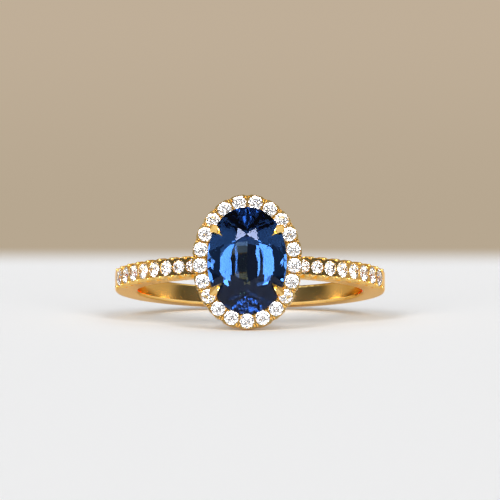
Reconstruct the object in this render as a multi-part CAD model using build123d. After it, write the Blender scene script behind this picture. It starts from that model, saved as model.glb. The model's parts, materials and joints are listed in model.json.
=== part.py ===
from build123d import *
import math
import os

# A halo engagement ring, in millimetres.  It is built upright on the bench: the finger passes along Y, the
# head points up (+Z) and X runs across, with the centre of the finger hole at the origin.  At the end every
# piece is laid down the way a loose ring lies on a table: on the band's back edge and the halo's lower edge.

# --- finger and band -------------------------------------------------------------------------------------
FINGER_RADIUS = 8.25          # inside radius, US size 6
BAND_WALL = 1.70
BAND_WIDTH = 1.50
BAND_EDGE_FILLET = 0.20       # softened edges, inside and outside

# --- small brilliants: proportions as shares of their diameter --------------------------------------------
TABLE_SHARE = 0.57
CROWN_SHARE = 0.15
GIRDLE_SHARE = 0.03
PAVILION_SHARE = 0.42
STAR_REACH = 0.50             # how far a star facet reaches from the table to the girdle
LOWER_HALF_REACH = 0.72       # how far a lower half facet reaches from the girdle to the culet
BRILLIANT_SIDES = 8
SEAT_CLEARANCE = 0.008        # around every set stone
AZURE_SHARE = 0.42            # through hole under a stone

# --- centre stone -----------------------------------------------------------------------------------------
SAPPHIRE_WIDTH = 5.50
SAPPHIRE_LENGTH = 7.50
SAPPHIRE_SQUARENESS = 2.12    # 2 is a true ellipse
SAPPHIRE_GIRDLE = 0.12
SAPPHIRE_CROWN = 0.90
SAPPHIRE_TABLE_WIDTH = 2.26
SAPPHIRE_TABLE_LENGTH = 4.00
SAPPHIRE_STAR_REACH = 0.52
GIRDLE_SIDES = 64
PAVILION_SIDES = 16
# each step's start, as a share of the way from the girdle to the keel, and its slope in degrees
PAVILION_STEPS = [(0.00, 47.0), (0.25, 39.0), (0.53, 31.0), (0.80, 20.0)]
CULET_CLEARANCE = 0.10        # from the keel down to the band

# --- halo -------------------------------------------------------------------------------------------------
HALO_STONE = 1.00
HALO_SPACING = 0.12           # between neighbouring stones
HALO_SIDE_GAP = 0.05          # from the sapphire's girdle to the stones, seen from above, at its sides
HALO_END_OVERLAP = 0.07       # and how far the sapphire overhangs the stones at its ends
HALO_DROP = 0.52              # from the sapphire's girdle down to the plate's top
HALO_RIM = 0.045              # metal outside the stones
HALO_SCALLOP_RADIUS = 0.45    # hollows in the plate's outer edge, between two stones
HALO_SCALLOP_DEPTH = 0.085
HALO_INNER_MARGIN = 0.30      # metal inside the stones
HALO_THICKNESS = 0.72
HALO_SINK = 0.06              # the stones' girdles below the plate's top
HALO_BEAD_RADIUS = 0.125
HALO_BEAD_PROUD = 0.03
HALO_BEAD_OUT = 0.37          # bead centres either side of the oval
HALO_GROOVE = 0.07            # width of the saw cut between two stones
HALO_GROOVE_DEPTH = 0.20

# --- shoulder pave ----------------------------------------------------------------------------------------
SHOULDER_STONES = 8           # a side
SHOULDER_EDGE = 0.10          # metal either side of the largest stone
SHOULDER_TAPER = 0.36         # how much smaller the stone next to the head is than the last one
SHOULDER_PAST_HALO = 0.13     # from the halo's outline to the first stone's centre
SHOULDER_GAP = 0.09
SHOULDER_SINK = 0.10          # girdle below the band's outer surface
SHOULDER_BEAD_RADIUS = 0.11
SHOULDER_BEAD_PROUD = 0.01
SHOULDER_BEAD_INSET = 0.13    # bead centre from the band's edge
SCALLOP_DEPTH = 0.16          # bite of each scallop into the band's edge
SCALLOP_DROP = 0.62           # how far it runs down the side wall

# --- basket -----------------------------------------------------------------------------------------------
CLAW_RADIUS = 0.27
CLAW_TURN = 34.5              # where the claws stand round the girdle
CLAW_FOOT_INSET = 0.79        # from the girdle's outline towards the stone's middle, at the claw's foot
CLAW_FOOT_SINK = 0.15         # foot below the top of the band
CLAW_SHOULDER_INSET = 0.222   # the same where the shaft ends and the hook starts
CLAW_SHOULDER_RISE = 0.16     # above the halo plate's top
BASE_RAIL_RISE = 0.03         # its centre above the band
BASE_RAIL_RADIUS = 0.30
GALLERY_RAIL_DROP = 0.16      # its centre below the halo plate
GALLERY_RAIL_RADIUS = 0.22
RAIL_INSET = 0.30             # the rails' wire runs this far inside the claws' axes
RAIL_ROUNDING = 0.85          # the wire's edge fillets, as a share of its radius
SOLDER_GAP = 0.006
STRUT_RADIUS = 0.24
BRIDGE_RADIUS = 0.32
BRIDGE_INSET = 0.25           # the bridges' axes inside the oval through the stones


def pavilion_depth(share=1.0):
    """Depth below the girdle at a share of the way from the girdle to the keel, one step after another."""
    depth = 0.0
    for number, (start, slope) in enumerate(PAVILION_STEPS):
        end = PAVILION_STEPS[number + 1][0] if number + 1 < len(PAVILION_STEPS) else 1.0
        run = max(0.0, min(end, share) - start) * SAPPHIRE_WIDTH / 2
        depth += run * math.tan(math.radians(slope))
    return depth


BAND_RADIUS = FINGER_RADIUS + BAND_WALL
GIRDLE_HEIGHT = BAND_RADIUS + CULET_CLEARANCE + pavilion_depth() + SAPPHIRE_GIRDLE / 2
HALO_TOP = GIRDLE_HEIGHT - HALO_DROP
HALO_BOTTOM = HALO_TOP - HALO_THICKNESS
HALO_HALF_WIDTH = SAPPHIRE_WIDTH / 2 + HALO_STONE / 2 + HALO_SIDE_GAP
HALO_HALF_LENGTH = SAPPHIRE_LENGTH / 2 + HALO_STONE / 2 - HALO_END_OVERLAP
HALO_REACH = HALO_STONE / 2 + HALO_RIM
SHOULDER_LARGEST = BAND_WIDTH - 2 * SHOULDER_EDGE


# --- stones -----------------------------------------------------------------------------------------------
def plane_through(a, b, c):
    """Plane through three points, with its normal pointing away from the stone's middle axis."""
    a, b, c = Vector(*a), Vector(*b), Vector(*c)
    normal = (b - a).cross(c - a).normalized()
    flat_out = Vector(a.X + b.X + c.X, a.Y + b.Y + c.Y, 0)
    if normal.dot(flat_out) < 0:
        normal = normal * -1
    return Plane(origin=a, z_dir=normal)


def grind(stone, planes):
    """Cuts one facet per plane."""
    for plane in planes:
        stone = split(stone, bisect_by=plane, keep=Keep.BOTTOM)
    return stone


def ring_point(half_x, half_y, turn, height, power=2.0):
    """Point on an oval at an angle in degrees, counted from +X."""
    c = math.cos(math.radians(turn))
    s = math.sin(math.radians(turn))
    x = half_x * math.copysign(abs(c) ** (2 / power), c)
    y = half_y * math.copysign(abs(s) ** (2 / power), s)
    return (x, y, height)


def brilliant(diameter):
    """Round brilliant with its girdle's middle at z = 0 and its table up."""
    r = diameter / 2
    girdle = GIRDLE_SHARE * diameter / 2
    table = TABLE_SHARE * r
    top = girdle + CROWN_SHARE * diameter
    culet = -girdle - PAVILION_SHARE * diameter
    step = 360 / BRILLIANT_SIDES
    half = step / 2
    facets = []
    for k in range(BRILLIANT_SIDES):
        turn = k * step
        tangent = turn + 90
        across = (math.cos(math.radians(tangent)), math.sin(math.radians(tangent)))
        for inner, outer in (((table, top), (r, girdle)), ((0, culet), (r, -girdle))):
            a = ring_point(inner[0], inner[0], turn, inner[1])
            b = ring_point(outer[0], outer[0], turn, outer[1])
            facets.append(plane_through(a, b, (b[0] + across[0], b[1] + across[1], b[2])))
        mid = turn + half
        # the kites' shared edge, cut by the star facet and by the two upper halves
        edge_top = (table / math.cos(math.radians(half)), top)
        edge_out = (r / math.cos(math.radians(half)), girdle)
        tip_r = edge_top[0] + (edge_out[0] - edge_top[0]) * STAR_REACH
        tip_z = edge_top[1] + (edge_out[1] - edge_top[1]) * STAR_REACH
        tip = ring_point(tip_r, tip_r, mid, tip_z)
        corner = ring_point(table, table, turn, top)
        facets.append(plane_through(corner, ring_point(table, table, turn + step, top), tip))
        keel_r = r / math.cos(math.radians(half)) * (1 - LOWER_HALF_REACH)
        keel_z = culet + (-girdle - culet) * (1 - LOWER_HALF_REACH)
        keel = ring_point(keel_r, keel_r, mid, keel_z)
        for side in (turn, turn + step):
            rim = ring_point(r, r, side, girdle)
            rim_mid = ring_point(r, r, mid, girdle)
            facets.append(plane_through(tip, rim, rim_mid))
            low = ring_point(r, r, side, -girdle)
            low_mid = ring_point(r, r, mid, -girdle)
            facets.append(plane_through(keel, low, low_mid))
    blank = extrude(RegularPolygon(r, 4 * BRILLIANT_SIDES), top)
    blank += extrude(RegularPolygon(r, 4 * BRILLIANT_SIDES), culet)
    return grind(blank, facets)


def sapphire():
    """Oval mixed cut: brilliant crown, step pavilion with a keel along the finger."""
    a, b = SAPPHIRE_WIDTH / 2, SAPPHIRE_LENGTH / 2
    girdle = SAPPHIRE_GIRDLE / 2
    top = girdle + SAPPHIRE_CROWN
    table_a, table_b = SAPPHIRE_TABLE_WIDTH / 2, SAPPHIRE_TABLE_LENGTH / 2
    turns = [360 * k / GIRDLE_SIDES for k in range(GIRDLE_SIDES)]
    outline = [ring_point(a, b, turn, 0, SAPPHIRE_SQUARENESS)[:2] for turn in turns]
    facets = []
    kites = []
    step = 360 / BRILLIANT_SIDES
    for k in range(BRILLIANT_SIDES):
        turn = k * step
        corner = ring_point(table_a, table_b, turn, top)
        rim = ring_point(a, b, turn, girdle, SAPPHIRE_SQUARENESS)
        before = ring_point(a, b, turn - 1, girdle, SAPPHIRE_SQUARENESS)
        after = ring_point(a, b, turn + 1, girdle, SAPPHIRE_SQUARENESS)
        along = (rim[0] + after[0] - before[0], rim[1] + after[1] - before[1], girdle)
        kites.append(plane_through(corner, rim, along))
    facets += kites
    for k in range(BRILLIANT_SIDES):
        turn = k * step
        here, there = kites[k], kites[(k + 1) % BRILLIANT_SIDES]
        star_z = top + (girdle - top) * SAPPHIRE_STAR_REACH
        tip = meeting_point(here, there, star_z)
        corner = ring_point(table_a, table_b, turn, top)
        next_corner = ring_point(table_a, table_b, turn + step, top)
        facets.append(plane_through(corner, next_corner, tip))
        rim_mid = ring_point(a, b, turn + step / 2, girdle, SAPPHIRE_SQUARENESS)
        for side in (turn, turn + step):
            rim = ring_point(a, b, side, girdle, SAPPHIRE_SQUARENESS)
            facets.append(plane_through(tip, rim, rim_mid))
    for start, slope in PAVILION_STEPS:
        facets += pavilion_row(a, b, -girdle - pavilion_depth(start), start * a, slope)
    blank = extrude(Polygon(*outline, align=None), top) + extrude(Polygon(*outline, align=None), -a)
    return grind(blank, facets)


def meeting_point(one, other, height):
    """Where two planes and a level meet."""
    n, m = one.z_dir, other.z_dir
    d = n.dot(one.origin) - n.Z * height
    e = m.dot(other.origin) - m.Z * height
    determinant = n.X * m.Y - n.Y * m.X
    return ((d * m.Y - e * n.Y) / determinant, (n.X * e - m.X * d) / determinant, height)


def pavilion_row(a, b, height, offset, slope):
    """One step of the pavilion: a facet for each side of the stone, all at one slope."""
    row = []
    for k in range(PAVILION_SIDES):
        turn = 360 * k / PAVILION_SIDES
        here = ring_point(a, b, turn, height, SAPPHIRE_SQUARENESS)
        before = ring_point(a, b, turn - 1, height, SAPPHIRE_SQUARENESS)
        after = ring_point(a, b, turn + 1, height, SAPPHIRE_SQUARENESS)
        along = Vector(after[0] - before[0], after[1] - before[1], 0).normalized()
        out = along.cross(Vector(0, 0, 1))
        start = Vector(*here) - out * offset
        tilt = math.radians(slope)
        normal = out * math.sin(tilt) - Vector(0, 0, 1) * math.cos(tilt)
        row.append(Plane(origin=start, z_dir=normal))
    return row


def seat_tool(stone, diameter, height):
    """What a setter drills out for a stone: the stone with its clearance, and the well above it."""
    loose = scale(stone, by=1 + 2 * SEAT_CLEARANCE / diameter)
    well = Cylinder(diameter / 2 + SEAT_CLEARANCE, height, align=(Align.CENTER, Align.CENTER, Align.MIN))
    return loose, well


# --- band -------------------------------------------------------------------------------------------------
def shoulder_row():
    """Angle from the head and diameter of each shoulder stone, on one side."""
    row = []
    angle = math.degrees(math.asin((HALO_HALF_WIDTH + HALO_REACH + SHOULDER_PAST_HALO) / BAND_RADIUS))
    for k in range(SHOULDER_STONES):
        diameter = SHOULDER_LARGEST - SHOULDER_TAPER * (1 - k / (SHOULDER_STONES - 1))
        if row:
            pitch = (row[-1][1] + diameter) / 2 + SHOULDER_GAP
            angle += math.degrees(pitch / BAND_RADIUS)
        row.append((angle, diameter))
    return row


def on_band(angle, radius, along=0.0):
    """A place on the band: degrees from the head towards +X, distance from its centre, along the finger."""
    return Location((0, 0, 0), (0, angle, 0)) * Location((0, along, radius))


def drill(radius, depth):
    """A round tool that reaches down from z = 0."""
    return Cylinder(radius, depth, align=(Align.CENTER, Align.CENTER, Align.MAX))


def bead(radius, height, place):
    """A raised grain of metal, pushed over the edge of a stone."""
    return place * (drill(radius, height) + Sphere(radius))


def shank(stones):
    """The band, with its pave seats, azures, scallops and beads."""
    section = RectangleRounded(BAND_WALL, BAND_WIDTH, BAND_EDGE_FILLET)
    ring = revolve(Pos(FINGER_RADIUS + BAND_WALL / 2, 0) * section, Axis.Y)
    wells, loose_stones, beads, scallops = [], [], [], []
    row = shoulder_row()
    seat_radius = BAND_RADIUS - SHOULDER_SINK
    for side in (-1, 1):
        for number, (angle, diameter) in enumerate(row):
            loose, well = seat_tool(stones[number], diameter, SHOULDER_SINK + 1)
            place = on_band(side * angle, seat_radius)
            loose_stones.append(place * loose)
            wells.append(place * well)
            wells.append(place * drill(AZURE_SHARE * diameter / 2, BAND_WALL))
            for edge in (-1, 1):
                bite = BAND_WIDTH / 2 - SCALLOP_DEPTH + diameter / 3
                spot = on_band(side * angle, BAND_RADIUS + SCALLOP_DROP, edge * bite)
                scallops.append(spot * drill(diameter / 3, 2 * SCALLOP_DROP))
        ends = [row[0][0] - math.degrees((row[0][1] + SHOULDER_GAP) / 2 / BAND_RADIUS)]
        for angle, diameter in row:
            ends.append(angle + math.degrees((diameter + SHOULDER_GAP) / 2 / BAND_RADIUS))
        for angle in ends:
            for edge in (-1, 1):
                inset = BAND_WIDTH / 2 - SHOULDER_BEAD_INSET
                spot = on_band(side * angle, BAND_RADIUS + SHOULDER_BEAD_PROUD, edge * inset)
                beads.append(bead(SHOULDER_BEAD_RADIUS, BAND_WALL / 3, spot))
    ring = ring - (wells + scallops)
    ring = ring + beads
    return ring - loose_stones


# --- halo -------------------------------------------------------------------------------------------------
def even_turns(half_width, half_length, count):
    """Angles in degrees that split an oval into equal lengths, the first at its lower end."""
    fine = 3600
    lengths = [0.0]
    for k in range(fine):
        one = ring_point(half_width, half_length, -90 + 360 * k / fine, 0)
        two = ring_point(half_width, half_length, -90 + 360 * (k + 1) / fine, 0)
        lengths.append(lengths[-1] + math.dist(one, two))
    turns = []
    k = 0
    for number in range(count):
        wanted = lengths[-1] * number / count
        while lengths[k] < wanted:
            k += 1
        turns.append(-90 + 360 * k / fine)
    return turns


def halo_count():
    """As many stones as fit round the oval at their spacing."""
    a, b = HALO_HALF_WIDTH, HALO_HALF_LENGTH
    around = math.pi * (3 * (a + b) - math.sqrt((3 * a + b) * (a + 3 * b)))
    return round(around / (HALO_STONE + HALO_SPACING))


def halo_place(turn, height):
    """A place on the halo's oval, turned so that its X points straight out."""
    x, y, z = ring_point(HALO_HALF_WIDTH, HALO_HALF_LENGTH, turn, height)
    facing = math.degrees(math.atan2(y / HALO_HALF_LENGTH ** 2, x / HALO_HALF_WIDTH ** 2))
    return Location((x, y, z), (0, 0, facing))


def halo_plate(stone, claw_shafts):
    """The halo's plate: a seat for each stone, and between two of them a scallop, a saw cut and beads."""
    inner = HALO_STONE / 2 + HALO_INNER_MARGIN
    turns = even_turns(HALO_HALF_WIDTH, HALO_HALF_LENGTH, halo_count())
    face = Ellipse(HALO_HALF_WIDTH + HALO_REACH, HALO_HALF_LENGTH + HALO_REACH)
    face -= Ellipse(HALO_HALF_WIDTH - inner, HALO_HALF_LENGTH - inner)
    plate = Pos(0, 0, HALO_BOTTOM) * extrude(face, HALO_THICKNESS)
    wells, loose_stones, beads, grooves = [], [], [], []
    for turn in turns:
        place = halo_place(turn, HALO_TOP - HALO_SINK)
        loose, well = seat_tool(stone, HALO_STONE, HALO_SINK + 1)
        loose_stones.append(place * loose)
        wells.append(place * well)
        azure = Cylinder(AZURE_SHARE * HALO_STONE / 2, 2 * HALO_THICKNESS)
        wells.append(place * azure)
    between = even_turns(HALO_HALF_WIDTH, HALO_HALF_LENGTH, 2 * halo_count())[1::2]
    scallop_out = HALO_REACH - HALO_SCALLOP_DEPTH + HALO_SCALLOP_RADIUS
    for turn in between:
        scallop = drill(HALO_SCALLOP_RADIUS, HALO_THICKNESS)
        wells.append(halo_place(turn, HALO_TOP) * Pos(scallop_out, 0) * scallop)
        place = halo_place(turn, HALO_TOP + HALO_BEAD_PROUD)
        for out in (-HALO_BEAD_OUT, HALO_BEAD_OUT):
            beads.append(bead(HALO_BEAD_RADIUS, HALO_THICKNESS / 2, place * Pos(out, 0, 0)))
        notch = Pos(0, 0, HALO_TOP - HALO_GROOVE_DEPTH)
        length = 4 * HALO_STONE
        cut = Box(length, HALO_GROOVE, 1, align=(Align.CENTER, Align.CENTER, Align.MIN))
        grooves.append(halo_place(turn, 0) * notch * cut)
    plate = plate - wells
    plate = plate + beads
    return plate - (grooves + loose_stones + claw_shafts)


# --- basket -----------------------------------------------------------------------------------------------
def claw_point(inset, height):
    """A point on the claw in the +X +Y corner: a distance in from the girdle, towards the stone's middle."""
    rim = Vector(*ring_point(SAPPHIRE_WIDTH / 2, SAPPHIRE_LENGTH / 2, CLAW_TURN, 0))
    return rim * (1 - inset / rim.length) + Vector(0, 0, height)


def claw_ends():
    """Foot and shoulder of the claw's straight shaft."""
    foot = claw_point(CLAW_FOOT_INSET, BAND_RADIUS - CLAW_FOOT_SINK)
    return foot, claw_point(CLAW_SHOULDER_INSET, HALO_TOP + CLAW_SHOULDER_RISE)


def claw_shaft(radius):
    """The straight lower part of the claw."""
    foot, shoulder = claw_ends()
    return rod(foot, shoulder, radius)


def claw(loose_sapphire):
    """Straight shaft, then a hook that narrows to a point on the sapphire's crown."""
    foot, shoulder = claw_ends()
    inward = claw_point(1, 0) - claw_point(0, 0)
    # inset, height above the girdle's middle, direction (inward, up) and radius of each section of the hook
    hook = [
        (-0.06, -0.10, (-0.25, 1.00), 0.32),
        (-0.06, 0.20, (0.60, 0.85), 0.31),
        (0.20, 0.46, (1.00, 0.30), 0.24),
        (0.66, 0.51, (1.00, -0.15), 0.05),
    ]
    rings = [Plane(origin=shoulder, z_dir=shoulder - foot) * Circle(CLAW_RADIUS)]
    for inset, rise, (along, up), radius in hook:
        way = inward * along + Vector(0, 0, up)
        rings.append(Plane(origin=claw_point(inset, GIRDLE_HEIGHT + rise), z_dir=way) * Circle(radius))
    whole = claw_shaft(CLAW_RADIUS) + loft(rings)
    return whole - loose_sapphire


def four_corners(shape):
    """The same shape in all four corners, by name."""
    mirrored = mirror(shape, about=Plane.YZ)
    return {
        "claw_upper_right": shape,
        "claw_upper_left": mirrored,
        "claw_lower_right": mirror(shape, about=Plane.XZ),
        "claw_lower_left": mirror(mirrored, about=Plane.XZ),
    }


def rail(height, wire_radius, cutters):
    """An oval of rounded wire inside the four claws at a height, notched to take them."""
    foot, shoulder = claw_ends()
    share = (height - foot.Z) / (shoulder.Z - foot.Z)
    inset = CLAW_FOOT_INSET + (CLAW_SHOULDER_INSET - CLAW_FOOT_INSET) * share + RAIL_INSET
    half_width = SAPPHIRE_WIDTH / 2 - inset
    half_length = SAPPHIRE_LENGTH / 2 - inset
    face = Ellipse(half_width + wire_radius, half_length + wire_radius)
    face -= Ellipse(half_width - wire_radius, half_length - wire_radius)
    wire = Pos(0, 0, height - wire_radius) * extrude(face, 2 * wire_radius)
    wire = fillet(wire.edges().filter_by(GeomType.LINE, reverse=True), RAIL_ROUNDING * wire_radius)
    return wire - cutters, half_length


def rod(start, end, radius):
    """Round wire between two points."""
    start, end = Vector(*start), Vector(*end)
    base = Plane(origin=start, z_dir=end - start)
    return base * Cylinder(radius, (end - start).length, align=(Align.CENTER, Align.CENTER, Align.MIN))


def supports(rails, rail_end, band_cylinder):
    """What holds the halo: a slanting strut at each end, and a bridge to each shoulder of the band."""
    above = 4 * HALO_HALF_LENGTH
    block = Box(above, above, above, align=(Align.CENTER, Align.CENTER, Align.MIN))
    too_high = Pos(0, 0, HALO_BOTTOM) * block
    strut = rod((0, rail_end, BAND_RADIUS + BASE_RAIL_RISE), (0, HALO_HALF_LENGTH, HALO_TOP), STRUT_RADIUS)
    strut = strut - ([too_high] + rails)
    spread = HALO_HALF_WIDTH - BRIDGE_INSET
    foot = math.sqrt(BAND_RADIUS ** 2 - spread ** 2) - BRIDGE_RADIUS
    bridge = rod((spread, 0, foot), (spread, 0, HALO_BOTTOM), BRIDGE_RADIUS) - band_cylinder
    return {
        "strut_upper": strut,
        "strut_lower": mirror(strut, about=Plane.XZ),
        "bridge_right": bridge,
        "bridge_left": mirror(bridge, about=Plane.YZ),
    }


# --- laying the ring down ---------------------------------------------------------------------------------
def rest_tilt():
    """Angle between the table and the ring's own plane when it lies on the band and the halo."""
    drop = HALO_HALF_LENGTH + HALO_REACH - BAND_WIDTH / 2
    reach = HALO_BOTTOM + BAND_RADIUS
    return math.degrees(math.atan2(drop, reach))


def build():
    """Every piece, upright on the bench, by name."""
    row = shoulder_row()
    shoulder_stones = [brilliant(diameter) for angle, diameter in row]
    halo_stone = brilliant(HALO_STONE)
    stone = sapphire()
    girdle_height = Pos(0, 0, GIRDLE_HEIGHT)
    loose_sapphire = girdle_height * scale(stone, by=1 + 2 * SEAT_CLEARANCE / SAPPHIRE_WIDTH)
    shafts = list(four_corners(claw_shaft(CLAW_RADIUS + SOLDER_GAP)).values())
    band_cylinder = Rot(90, 0, 0) * Cylinder(BAND_RADIUS + SOLDER_GAP, BAND_WIDTH)
    base_rail, base_rail_end = rail(BAND_RADIUS + BASE_RAIL_RISE, BASE_RAIL_RADIUS, shafts + [band_cylinder])
    gallery_rail, _ = rail(HALO_BOTTOM - GALLERY_RAIL_DROP, GALLERY_RAIL_RADIUS, shafts)

    parts = {
        "shank": shank(shoulder_stones),
        "base_rail": base_rail,
        "gallery_rail": gallery_rail,
        "halo_plate": halo_plate(halo_stone, shafts),
        "center_sapphire": girdle_height * stone,
    }
    parts.update(four_corners(claw(loose_sapphire)))
    parts.update(supports([base_rail, gallery_rail], base_rail_end, band_cylinder))
    for side, name in ((-1, "left"), (1, "right")):
        for number, (angle, diameter) in enumerate(row):
            place = on_band(side * angle, BAND_RADIUS - SHOULDER_SINK)
            parts[f"shoulder_diamond_{name}_{number + 1}"] = place * shoulder_stones[number]
    for number, turn in enumerate(even_turns(HALO_HALF_WIDTH, HALO_HALF_LENGTH, halo_count())):
        parts[f"halo_diamond_{number + 1:02d}"] = halo_place(turn, HALO_TOP - HALO_SINK) * halo_stone
    return parts


os.makedirs("parts", exist_ok=True)
lay_down = Rot(90 - rest_tilt(), 0, 0)
for name, shape in build().items():
    export_step(lay_down * shape, f"parts/{name}.step")
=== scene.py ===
import bpy
import bmesh
import json
import math
from mathutils import Matrix, Vector


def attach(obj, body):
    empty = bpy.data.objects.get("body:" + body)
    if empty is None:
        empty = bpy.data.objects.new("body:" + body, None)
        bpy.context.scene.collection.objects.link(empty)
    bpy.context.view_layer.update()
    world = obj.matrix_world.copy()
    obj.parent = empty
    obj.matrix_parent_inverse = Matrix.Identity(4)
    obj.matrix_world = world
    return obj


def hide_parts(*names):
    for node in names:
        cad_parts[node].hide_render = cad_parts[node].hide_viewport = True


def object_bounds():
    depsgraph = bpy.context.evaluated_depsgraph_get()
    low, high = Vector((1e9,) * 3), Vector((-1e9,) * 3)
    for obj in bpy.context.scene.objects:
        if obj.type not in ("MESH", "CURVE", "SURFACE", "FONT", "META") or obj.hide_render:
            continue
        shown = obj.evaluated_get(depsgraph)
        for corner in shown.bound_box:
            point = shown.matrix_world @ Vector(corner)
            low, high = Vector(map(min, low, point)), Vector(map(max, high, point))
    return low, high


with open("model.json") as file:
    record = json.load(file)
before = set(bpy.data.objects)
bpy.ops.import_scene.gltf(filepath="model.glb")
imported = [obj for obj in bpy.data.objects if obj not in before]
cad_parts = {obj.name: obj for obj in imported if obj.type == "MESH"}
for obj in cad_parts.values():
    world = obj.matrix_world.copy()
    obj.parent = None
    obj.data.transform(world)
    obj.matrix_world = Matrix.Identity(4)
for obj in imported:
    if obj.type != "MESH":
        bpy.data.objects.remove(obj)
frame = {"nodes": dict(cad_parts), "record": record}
cad_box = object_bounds()
scene = bpy.context.scene
scene.view_settings.view_transform = "Standard"

# --- camera ----------------------------------------------------------------------------------------------
# It looks at the ring's face from almost level with the table, a little from the right.  The ring's own
# plane leans away from it, so that the inside of the back of the band shows below the front.
MM = 0.001
CAMERA_DISTANCE = 200 * MM
CAMERA_LENS = 195
CAMERA_TURN = math.radians(1.0)
SEEN_FROM_BELOW = math.radians(7.25)      # between the line of sight and the ring's own plane
AIM_HEIGHT = 2.40 * MM                    # above the middle of the finger hole
NEAREST_SEEN = 1 * MM

finger_axis = Vector(frame["record"]["mounts"][0]["axis"])
lean = math.atan2(finger_axis.y, finger_axis.z)
climb = lean - SEEN_FROM_BELOW
camera_data = bpy.data.cameras.new("camera")
camera_data.lens = CAMERA_LENS
camera_data.clip_start = NEAREST_SEEN
camera = bpy.data.objects.new("camera", camera_data)
scene.collection.objects.link(camera)
sideways, level = math.sin(CAMERA_TURN), math.cos(CAMERA_TURN)
away = Vector((sideways * math.cos(climb), -level * math.cos(climb), math.sin(climb)))
camera.location = away * CAMERA_DISTANCE
aim = Vector((0, 0, AIM_HEIGHT)) - camera.location
camera.rotation_euler = aim.to_track_quat("-Z", "Y").to_euler()
scene.camera = camera

# --- room ------------------------------------------------------------------------------------------------
# A beige room with a pale light under the ceiling at the back.  Two upright strips of light face the ring,
# left and right of the camera, with a dim fill between them, and two small softboxes hang above them.
WALL_LOW = (0.473, 0.386, 0.279)
WALL_HIGH = (0.527, 0.427, 0.315)
WALL_LIFT = 2.5                           # degrees either side of level where its low tone turns to the high
WALL_HALF_WIDTH = 90                      # degrees either side of straight behind the ring
WALL_TOP = 34                             # degrees above the table
WALL_EDGE = 12                            # degrees either side of its outline over which it fades
MOST_BOUNCES = 24
STONE_BOUNCES = 16                        # of light between the facets of a stone
ROOM_DIM = 0.12                           # the room's own light, everywhere
# name, azimuth and elevation of the middle, half width, half height and soft edge in degrees, strength
LIGHT_PANELS = [
    ("back_ceiling", 180, 66, 100, 24, 10, 1.10),
    ("front_left", -25, 17, 10, 20, 2, 13.5),
    ("front_right", 25, 17, 10, 20, 2, 12.5),
    ("front_fill", 0, 10, 17, 22, 4, 0.22),
    ("key_left", -24, 44.5, 6, 4.5, 1, 22.0),
    ("key_right", 21.5, 44.5, 6, 4.5, 1, 22.0),
]

room = bpy.data.worlds.new("room")
scene.world = room
room.use_nodes = True
nodes, links = room.node_tree.nodes, room.node_tree.links
nodes.clear()


def sum_node(operation, *inputs):
    """A maths node in the tree at hand, fed by sockets or plain numbers."""
    node = nodes.new("ShaderNodeMath")
    node.operation = operation
    for socket, value in zip(node.inputs, inputs):
        if isinstance(value, (int, float)):
            socket.default_value = value
        else:
            links.new(value, socket)
    return node.outputs[0]


def fade_node(value, start, end, first=0.0, last=1.0):
    """A smooth change from one number to another as a value goes from start to end."""
    node = nodes.new("ShaderNodeMapRange")
    node.interpolation_type = "SMOOTHSTEP"
    links.new(value, node.inputs["Value"])
    node.inputs["From Min"].default_value = start
    node.inputs["From Max"].default_value = end
    node.inputs["To Min"].default_value = first
    node.inputs["To Max"].default_value = last
    return node.outputs[0]


facing = nodes.new("ShaderNodeSeparateXYZ")
links.new(nodes.new("ShaderNodeTexCoord").outputs["Generated"], facing.inputs[0])
forward = sum_node("MULTIPLY", facing.outputs["Y"], -1)
azimuth = sum_node("MULTIPLY", sum_node("ARCTAN2", facing.outputs["X"], forward), 180 / math.pi)
elevation = sum_node("MULTIPLY", sum_node("ARCSINE", facing.outputs["Z"]), 180 / math.pi)
strength = ROOM_DIM
for _, turn, rise, half_width, half_height, soft, power in LIGHT_PANELS:
    off = sum_node("ABSOLUTE", sum_node("SUBTRACT", azimuth, turn))
    round_the_back = sum_node("SUBTRACT", 360, off)
    off = sum_node("MINIMUM", off, round_the_back)
    across = fade_node(off, half_width - soft, half_width + soft, 1, 0)
    up = sum_node("ABSOLUTE", sum_node("SUBTRACT", elevation, rise))
    upright = fade_node(up, half_height - soft, half_height + soft, 1, 0)
    strength = sum_node("ADD", strength, sum_node("MULTIPLY", sum_node("MULTIPLY", across, upright), power))
lighting = nodes.new("ShaderNodeBackground")
links.new(strength, lighting.inputs["Strength"])
wall_tone = nodes.new("ShaderNodeMix")
wall_tone.data_type = "RGBA"
wall_tone.inputs["A"].default_value = (*WALL_LOW, 1)
wall_tone.inputs["B"].default_value = (*WALL_HIGH, 1)
links.new(fade_node(elevation, -WALL_LIFT, WALL_LIFT), wall_tone.inputs["Factor"])
wall = nodes.new("ShaderNodeBackground")
links.new(wall_tone.outputs["Result"], wall.inputs["Color"])
from_behind = sum_node("SUBTRACT", 180, sum_node("ABSOLUTE", azimuth))
behind = fade_node(from_behind, WALL_HALF_WIDTH - WALL_EDGE, WALL_HALF_WIDTH + WALL_EDGE, 1, 0)
low = fade_node(elevation, WALL_TOP - WALL_EDGE, WALL_TOP + WALL_EDGE, 1, 0)
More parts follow.
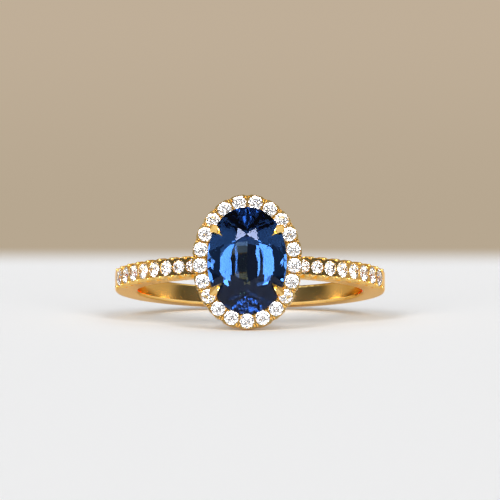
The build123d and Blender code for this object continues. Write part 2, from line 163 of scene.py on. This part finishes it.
# the eye sees only the wall; gold and stones mirror it behind the ring and the lights elsewhere
rays = nodes.new("ShaderNodeLightPath")
in_metal_or_glass = sum_node("MAXIMUM", rays.outputs["Is Glossy Ray"], rays.outputs["Is Transmission Ray"])
seen_wall = sum_node("MULTIPLY", sum_node("MULTIPLY", behind, low), in_metal_or_glass)
seen_wall = sum_node("MAXIMUM", seen_wall, rays.outputs["Is Camera Ray"])
either = nodes.new("ShaderNodeMixShader")
links.new(seen_wall, either.inputs["Fac"])
links.new(lighting.outputs[0], either.inputs[1])
links.new(wall.outputs[0], either.inputs[2])
out = nodes.new("ShaderNodeOutputWorld")
links.new(either.outputs[0], out.inputs["Surface"])
scene.cycles.max_bounces = MOST_BOUNCES
scene.cycles.glossy_bounces = STONE_BOUNCES
scene.cycles.transmission_bounces = STONE_BOUNCES

# --- table -----------------------------------------------------------------------------------------------
# A plain white surface under the ring, which runs into the beige of the wall well behind the ring.
TABLE_WHITE = (0.84, 0.84, 0.845, 1)
TABLE_GLOW = 0.035
TABLE_ROUGHNESS = 0.9
WHITE_ENDS = 65 * MM                      # from the ring, away from the camera and to the left
WALL_STARTS = 108 * MM
TABLE_FAR = 130 * MM                      # its edges behind the ring and to the left
TABLE_NEAR = 300 * MM                     # its edges in front and to the right

table_height = cad_box[0][2]
left, right, front, back = -TABLE_FAR, TABLE_NEAR, -TABLE_NEAR, TABLE_FAR
table_mesh = bpy.data.meshes.new("table_top")
outline = [(left, front), (right, front), (right, back), (left, back)]
table_mesh.from_pydata([(x, y, table_height) for x, y in outline], [], [(0, 1, 2, 3)])
table = bpy.data.objects.new("table_top", table_mesh)
scene.collection.objects.link(table)

table_paint = bpy.data.materials.new("table_paint")
table_paint.use_nodes = True
nodes, links = table_paint.node_tree.nodes, table_paint.node_tree.links
surface = nodes["Principled BSDF"]
surface.inputs["Base Color"].default_value = TABLE_WHITE
surface.inputs["Roughness"].default_value = TABLE_ROUGHNESS
surface.inputs["Specular IOR Level"].default_value = 0.0
place = nodes.new("ShaderNodeSeparateXYZ")
links.new(nodes.new("ShaderNodeNewGeometry").outputs["Position"], place.inputs[0])
farthest = sum_node("MAXIMUM", place.outputs["Y"], sum_node("MULTIPLY", place.outputs["X"], -1))
beige = nodes.new("ShaderNodeEmission")
beige.inputs["Color"].default_value = (*WALL_LOW, 1)
glow = nodes.new("ShaderNodeEmission")
glow.inputs["Strength"].default_value = TABLE_GLOW
lit = nodes.new("ShaderNodeAddShader")
links.new(surface.outputs[0], lit.inputs[0])
links.new(glow.outputs[0], lit.inputs[1])
blend = nodes.new("ShaderNodeMixShader")
links.new(fade_node(farthest, WHITE_ENDS, WALL_STARTS), blend.inputs["Fac"])
links.new(lit.outputs[0], blend.inputs[1])
links.new(beige.outputs[0], blend.inputs[2])
links.new(blend.outputs[0], nodes["Material Output"].inputs["Surface"])
table_mesh.materials.append(table_paint)

# --- gold ------------------------------------------------------------------------------------------------
# Band, basket, halo plate and claws are 18 ct yellow gold, soldered together.  They are polished by hand
# once the stones are set, which leaves the gold bright but faintly cloudy.
GOLD_DEEP = (0.94, 0.61, 0.18, 1)
GOLD_PALE = (1.00, 0.71, 0.28, 1)
GOLD_GRAZING = (1.00, 0.74, 0.38, 1)      # its colour at a glancing angle
GOLD_CLOUD_SCALE = 420                    # clouds in a metre
GOLD_CLOUD_DETAIL = 3
GOLD_CLOUD_RANGE = (0.3, 0.7)
GOLD_ROUGHNESS = (0.10, 0.17)

gold = bpy.data.materials.new("polished_gold")
gold.use_nodes = True
nodes, links = gold.node_tree.nodes, gold.node_tree.links
surface = nodes["Principled BSDF"]
surface.inputs["Metallic"].default_value = 1.0
surface.inputs["Specular Tint"].default_value = GOLD_GRAZING
where = nodes.new("ShaderNodeTexCoord")
cloud = nodes.new("ShaderNodeTexNoise")
cloud.inputs["Scale"].default_value = GOLD_CLOUD_SCALE
cloud.inputs["Detail"].default_value = GOLD_CLOUD_DETAIL
links.new(where.outputs["Object"], cloud.inputs["Vector"])
tone = nodes.new("ShaderNodeMix")
tone.data_type = "RGBA"
tone.inputs["A"].default_value = GOLD_DEEP
tone.inputs["B"].default_value = GOLD_PALE
links.new(fade_node(cloud.outputs["Fac"], *GOLD_CLOUD_RANGE), tone.inputs["Factor"])
links.new(tone.outputs["Result"], surface.inputs["Base Color"])
links.new(fade_node(cloud.outputs["Fac"], *GOLD_CLOUD_RANGE, *GOLD_ROUGHNESS), surface.inputs["Roughness"])
for name, node in frame["nodes"].items():
    if "diamond" not in name and "sapphire" not in name:
        node.material_slots[0].material = gold

# --- diamonds --------------------------------------------------------------------------------------------
# Small round brilliants, near colourless: 21 in the halo and eight down each shoulder of the band.  They are
# cut as in the frame, and each is held by beads raised from the gold beside it.
DIAMOND_IOR = 2.42
DIAMOND_CLEAR = (1.00, 1.00, 1.00, 1)
DIAMOND_COOL = (0.94, 0.96, 1.00, 1)
DIAMOND_CLOUD_SCALE = 900                 # changes of tone in a metre


def clear_stone(name, ior, one_tone, other_tone, cloud_scale):
    """A polished stone that light passes through, its colour drifting between two tones."""
    material = bpy.data.materials.new(name)
    material.use_nodes = True
    nodes, links = material.node_tree.nodes, material.node_tree.links
    surface = nodes["Principled BSDF"]
    surface.inputs["Roughness"].default_value = 0.0
    surface.inputs["IOR"].default_value = ior
    surface.inputs["Transmission Weight"].default_value = 1.0
    cloud = nodes.new("ShaderNodeTexNoise")
    cloud.inputs["Scale"].default_value = cloud_scale
    links.new(nodes.new("ShaderNodeTexCoord").outputs["Object"], cloud.inputs["Vector"])
    tone = nodes.new("ShaderNodeMix")
    tone.data_type = "RGBA"
    tone.inputs["A"].default_value = one_tone
    tone.inputs["B"].default_value = other_tone
    links.new(cloud.outputs["Fac"], tone.inputs["Factor"])
    links.new(tone.outputs["Result"], surface.inputs["Base Color"])
    return material


diamond = clear_stone("diamond", DIAMOND_IOR, DIAMOND_CLEAR, DIAMOND_COOL, DIAMOND_CLOUD_SCALE)
for name, node in frame["nodes"].items():
    if "diamond" in name:
        node.material_slots[0].material = diamond

# --- sapphire --------------------------------------------------------------------------------------------
# The centre stone, a deep blue oval of 7.5 by 5.5 mm: a brilliant crown over a step-cut pavilion that ends
# in a keel.  Each facet is ground flat with one pass, so the stone is a block cut by one plane a facet.
STONE_HALF_WIDTH = 2.75 * MM
STONE_HALF_LENGTH = 3.75 * MM
STONE_SQUARENESS = 2.12                   # 2 is a true ellipse
HALF_GIRDLE = 0.06 * MM
CROWN_HEIGHT = 0.90 * MM
TABLE_FACET_HALF_WIDTH = 1.13 * MM
TABLE_FACET_HALF_LENGTH = 1.70 * MM
STAR_REACH = 0.25                         # how far down the crown the star facets come
CROWN_SIDES = 8
GIRDLE_SIDES = 64
PAVILION_SIDES = 24
STEP_SHIFT = 0.5                          # every other step is turned by this share of a facet
UNEVEN = 1.0                              # degrees by which pairs of facets lean one way or the other
END_STEEPER = 6.5                         # degrees more slope at the two ends than at the sides
# each step's start, as a share of the way from the girdle to the keel, and its slope in degrees at the sides
PAVILION_STEPS = [
    (0.00, 44),
    (0.08, 40),
    (0.18, 38),
    (0.30, 36.5),
    (0.44, 35.5),
    (0.58, 35),
    (0.72, 34.7),
    (0.86, 32),
]
TOUCHING = 1e-9                           # metres within which a corner lies on a cut
SHORTEST_EDGE = 1e-7                      # metres
SAPPHIRE_IOR = 1.77
SAPPHIRE_GLEAM = (0.28, 0.32, 0.48, 1)    # tint of what its surface mirrors
SAPPHIRE_ZONE_DEEP = (0.70, 0.85, 1.00, 1)
SAPPHIRE_ZONE_PALE = (0.90, 0.96, 1.00, 1)
SAPPHIRE_ZONE_SCALE = 350
SAPPHIRE_BODY = (0.12, 0.36, 0.60, 1)     # what passes through the stone
SAPPHIRE_DENSITY = 720

lay_down = Matrix.Rotation(math.pi / 2 - lean, 4, "X")
stand_up = lay_down.inverted()
cad_stone = frame["nodes"]["center_sapphire"]
upright_stone = [stand_up @ vertex.co for vertex in cad_stone.data.vertices]
girdle_height = max(vertex.z for vertex in upright_stone) - CROWN_HEIGHT - HALF_GIRDLE


def on_oval(half_width, half_length, turn, height, power=2.0):
    """A point on an oval, at an angle in degrees from its short axis."""
    cosine, sine = math.cos(math.radians(turn)), math.sin(math.radians(turn))
    x = half_width * math.copysign(abs(cosine) ** (2 / power), cosine)
    y = half_length * math.copysign(abs(sine) ** (2 / power), sine)
    return Vector((x, y, height))


def on_girdle(turn, height):
    return on_oval(STONE_HALF_WIDTH, STONE_HALF_LENGTH, turn, height, STONE_SQUARENESS)


def on_table_facet(turn):
    return on_oval(TABLE_FACET_HALF_WIDTH, TABLE_FACET_HALF_LENGTH, turn, crown_top)


def along_girdle(turn):
    """The way the girdle runs at an angle, taken over two degrees of it."""
    return on_girdle(turn + 1, 0) - on_girdle(turn - 1, 0)


def facet(a, b, c):
    """The facet through three points, as one point on it and its outward direction."""
    normal = (b - a).cross(c - a).normalized()
    middle = a + b + c
    if normal.x * middle.x + normal.y * middle.y < 0:
        normal.negate()
    return a, normal


def meet(one, other, height):
    """The point at a height where two facets meet."""
    (p, n), (q, m) = one, other
    d = n.dot(p) - n.z * height
    e = m.dot(q) - m.z * height
    determinant = n.x * m.y - n.y * m.x
    return Vector(((d * m.y - e * n.y) / determinant, (n.x * e - m.x * d) / determinant, height))


crown_top = HALF_GIRDLE + CROWN_HEIGHT
step_turn = 360 / CROWN_SIDES
kites = []
for k in range(CROWN_SIDES):
    turn = k * step_turn
    rim = on_girdle(turn, HALF_GIRDLE)
    kites.append(facet(on_table_facet(turn), rim, rim + along_girdle(turn)))
facets = list(kites)
for k in range(CROWN_SIDES):
    turn = k * step_turn
    next_turn = turn + step_turn
    tip = meet(kites[k], kites[(k + 1) % CROWN_SIDES], crown_top - CROWN_HEIGHT * STAR_REACH)
    middle = on_girdle(turn + step_turn / 2, HALF_GIRDLE)
    # a star facet, and the two facets between its tip and the girdle
    facets.append(facet(on_table_facet(turn), on_table_facet(next_turn), tip))
    facets.append(facet(tip, on_girdle(turn, HALF_GIRDLE), middle))
    facets.append(facet(tip, on_girdle(next_turn, HALF_GIRDLE), middle))
for number, (start, slope) in enumerate(PAVILION_STEPS):
    for k in range(PAVILION_SIDES):
        turn = 360 * (k + STEP_SHIFT * (number % 2)) / PAVILION_SIDES
        steeper = END_STEEPER * abs(math.sin(math.radians(turn)))
        uneven = UNEVEN * (1 if (k // 2 + number) % 2 else -1)
        # the steps above this one take it down to its depth
        depth = HALF_GIRDLE
        for (one_start, one_slope), (next_start, _) in zip(PAVILION_STEPS[:number], PAVILION_STEPS[1:]):
            run = (next_start - one_start) * STONE_HALF_WIDTH
            depth += run * math.tan(math.radians(one_slope + steeper))
        outward = along_girdle(turn).normalized().cross(Vector((0, 0, 1)))
        spot = on_girdle(turn, -depth) - outward * start * STONE_HALF_WIDTH
        tilt = math.radians(slope + steeper + uneven)
        facets.append((spot, outward * math.sin(tilt) - Vector((0, 0, math.cos(tilt)))))

# the block starts with flat ends, at the table facet and well below the keel
blank = bmesh.new()
girdle_turns = [360 * k / GIRDLE_SIDES for k in range(GIRDLE_SIDES)]
top_ring = [blank.verts.new(on_girdle(turn, crown_top)) for turn in girdle_turns]
low_ring = [blank.verts.new(on_girdle(turn, -STONE_HALF_LENGTH)) for turn in girdle_turns]
blank.faces.new(top_ring)
blank.faces.new(list(reversed(low_ring)))
for k in range(GIRDLE_SIDES):
    other = (k + 1) % GIRDLE_SIDES
    blank.faces.new([low_ring[k], low_ring[other], top_ring[other], top_ring[k]])
for spot, outward in facets:
    everything = blank.verts[:] + blank.edges[:] + blank.faces[:]
    cut = bmesh.ops.bisect_plane(
        blank, geom=everything, plane_co=spot, plane_no=outward, clear_outer=True, dist=TOUCHING
    )
    ring = [piece for piece in cut["geom_cut"] if isinstance(piece, bmesh.types.BMEdge)]
    if len(ring) > 2:
        bmesh.ops.contextual_create(blank, geom=ring)
bmesh.ops.dissolve_degenerate(blank, dist=SHORTEST_EDGE, edges=blank.edges[:])
bmesh.ops.recalc_face_normals(blank, faces=blank.faces[:])
blank.transform(lay_down @ Matrix.Translation((0, 0, girdle_height)))
stone_mesh = bpy.data.meshes.new("cut_sapphire")
blank.to_mesh(stone_mesh)
blank.free()
stone = bpy.data.objects.new("cut_sapphire", stone_mesh)
scene.collection.objects.link(stone)
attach(stone, "root")
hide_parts("center_sapphire")

sapphire = clear_stone(
    "sapphire", SAPPHIRE_IOR, SAPPHIRE_ZONE_DEEP, SAPPHIRE_ZONE_PALE, SAPPHIRE_ZONE_SCALE
)
nodes, links = sapphire.node_tree.nodes, sapphire.node_tree.links
nodes["Principled BSDF"].inputs["Specular Tint"].default_value = SAPPHIRE_GLEAM
body = nodes.new("ShaderNodeVolumeAbsorption")
body.inputs["Color"].default_value = SAPPHIRE_BODY
body.inputs["Density"].default_value = SAPPHIRE_DENSITY
links.new(body.outputs[0], nodes["Material Output"].inputs["Volume"])
stone_mesh.materials.append(sapphire)

# --- claws -----------------------------------------------------------------------------------------------
# Four eagle claws hold the stone: round wire, soldered to both rails of the basket and passed up through the
# halo plate.  Above the plate it is filed to a sharp ridge and bent over the girdle to a point.
CLAW_TURN = 34.5                          # degrees round the girdle, from the stone's short axis
CLAW_SIDES = 24
# inset from the girdle toward the stone's middle, height above the girdle and radius in millimetres, and how
# sharp the ridge is, from 0, round, to 1
CLAW_SECTIONS = [
    (0.790, -2.317, 0.27, 0.0),
    (0.222, -0.360, 0.27, 0.0),
    (-0.030, -0.100, 0.31, 0.2),
    (-0.060, 0.200, 0.33, 0.7),
    (0.060, 0.420, 0.28, 1.0),
    (0.240, 0.540, 0.20, 1.0),
    (0.480, 0.570, 0.11, 1.0),
    (0.760, 0.530, 0.02, 1.0),
]
RIDGE_CREASE = math.radians(30)           # edges that turn more than this stay sharp

claw_rim = on_girdle(CLAW_TURN, 0)
for end, end_name in ((1, "upper"), (-1, "lower")):
    for side, side_name in ((1, "right"), (-1, "left")):
        rim = Vector((claw_rim.x * side, claw_rim.y * end, 0))
        inward = -rim.normalized()
        across = inward.cross(Vector((0, 0, 1)))
        axis = []
        for inset, rise, _, _ in CLAW_SECTIONS:
            axis.append(rim + inward * inset * MM + Vector((0, 0, girdle_height + rise * MM)))
        claw = bmesh.new()
        rings = []
        for number, (_, _, radius, sharp) in enumerate(CLAW_SECTIONS):
            before, after = axis[max(0, number - 1)], axis[min(len(axis) - 1, number + 1)]
            ridge_way = across.cross(after - before).normalized()
            if ridge_way.dot(inward) > 0:
                ridge_way.negate()
            ring = []
            for k in range(CLAW_SIDES):
                turn = 2 * math.pi * k / CLAW_SIDES
                sine, cosine = math.sin(turn), math.cos(turn)
                # the outer half of the section goes from round to a gable, whose top is the ridge
                gable = 1 / (abs(sine) + abs(cosine)) if cosine > 0 else 1
                reach = radius * MM * (1 + sharp * (gable - 1))
                ring.append(claw.verts.new(axis[number] + (across * sine + ridge_way * cosine) * reach))
            rings.append(ring)
        for one, other in zip(rings, rings[1:]):
            for k in range(CLAW_SIDES):
                beside = (k + 1) % CLAW_SIDES
                claw.faces.new([one[k], one[beside], other[beside], other[k]])
        claw.faces.new(rings[0])
        claw.faces.new(rings[-1])
        bmesh.ops.recalc_face_normals(claw, faces=claw.faces[:])
        claw.transform(lay_down)
        name = f"eagle_claw_{end_name}_{side_name}"
        claw_mesh = bpy.data.meshes.new(name)
        claw.to_mesh(claw_mesh)
        claw.free()
        claw_mesh.shade_smooth()
        claw_mesh.set_sharp_from_angle(angle=RIDGE_CREASE)
        claw_mesh.materials.append(gold)
        piece = bpy.data.objects.new(name, claw_mesh)
        scene.collection.objects.link(piece)
        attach(piece, "root")
        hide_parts(f"claw_{end_name}_{side_name}")
